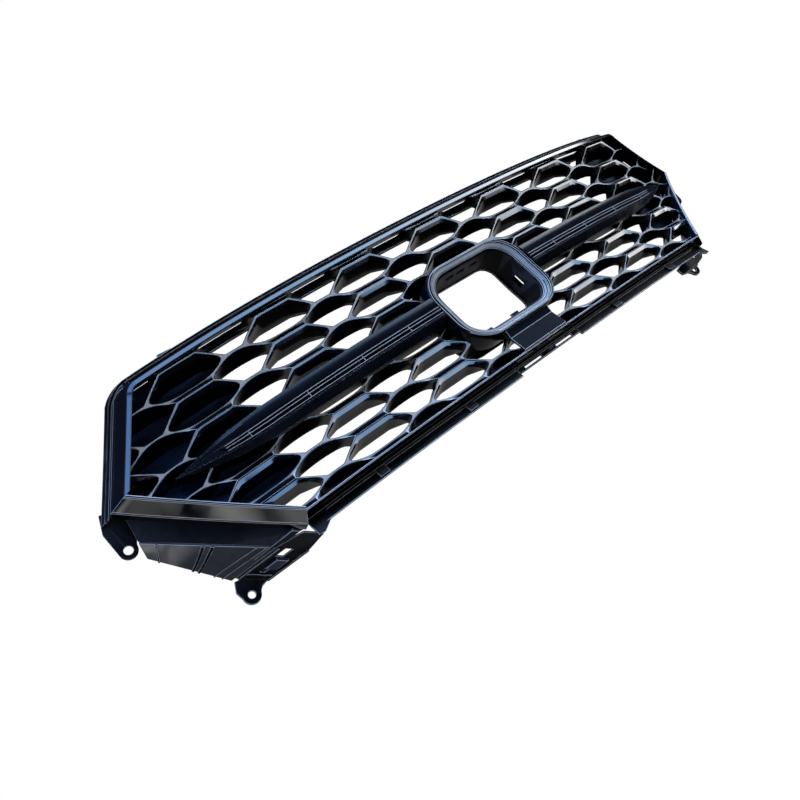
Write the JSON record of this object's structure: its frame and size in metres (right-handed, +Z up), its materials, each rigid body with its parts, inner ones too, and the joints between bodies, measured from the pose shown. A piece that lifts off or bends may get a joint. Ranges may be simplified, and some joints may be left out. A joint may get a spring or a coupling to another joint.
{
  "type": "front grille",
  "caption": "Wide six-sided car front grille: honeycomb mesh in a gloss black bezel, a bar across the middle and an open ring for an emblem.",
  "frame": {"origin": "centre of the overall box", "axes": "+X across the car to the right as seen from in front, +Y back into the car, +Z up as mounted"},
  "size_m": [1.14, 0.1388, 0.3],
  "materials": {
    "gloss_black": "high gloss moulded black, sharp reflections",
    "mesh_black": "semi-gloss moulded black with polished rib edges",
    "satin_black": "satin moulded black with fine grain",
    "panel_black": "satin blue-black moulded panel",
    "smoked_panel": "smoked grey gloss plastic",
    "screw_steel": "zinc plated screw heads"
  },
  "bodies": {
    "root": {"bezel_top": "gloss_black", "bezel_bottom": "gloss_black", "honeycomb_mesh": "mesh_black", "emblem_ring": "gloss_black", "emblem_socket": "satin_black", "emblem_frame": "satin_black", "centre_plate": "panel_black", "flange_top": "satin_black", "flange_bottom_centre": "satin_black", "rear_rail_upper": "satin_black", "rear_rail_lower": "satin_black", "bezel_side_right": "gloss_black", "bezel_side_left": "gloss_black", "bezel_lower_right": "gloss_black", "bezel_lower_left": "gloss_black", "blanking_panel_right": "panel_black", "blanking_panel_left": "panel_black", "bar_wing_right": "gloss_black", "bar_wing_left": "gloss_black", "bar_insert_right": "satin_black", "bar_insert_left": "satin_black", "emblem_clip_right": "satin_black", "emblem_clip_left": "satin_black", "frame_screw_lower_right": "screw_steel", "frame_screw_lower_left": "screw_steel", "frame_screw_upper_right": "screw_steel", "frame_screw_upper_left": "screw_steel", "flange_side_right": "satin_black", "flange_side_left": "satin_black", "flange_bottom_right": "satin_black", "flange_bottom_left": "satin_black", "bottom_clip_inner_right": "satin_black", "bottom_clip_inner_left": "satin_black", "bottom_clip_outer_right": "satin_black", "bottom_clip_outer_left": "satin_black", "top_tab_right": "satin_black", "top_tab_left": "satin_black", "side_tab_right": "satin_black", "side_tab_left": "satin_black", "garnish_rail_right": "satin_black", "garnish_rail_left": "satin_black", "side_garnish_right": "smoked_panel", "side_garnish_left": "smoked_panel", "lower_bracket_right": "satin_black", "lower_bracket_left": "satin_black", "bracket_arm_right": "satin_black", "bracket_arm_left": "satin_black", "rail_screw_inner_right": "screw_steel", "rail_screw_inner_left": "screw_steel", "rail_screw_outer_right": "screw_steel", "rail_screw_outer_left": "screw_steel"}
  },
  "joints": []
}
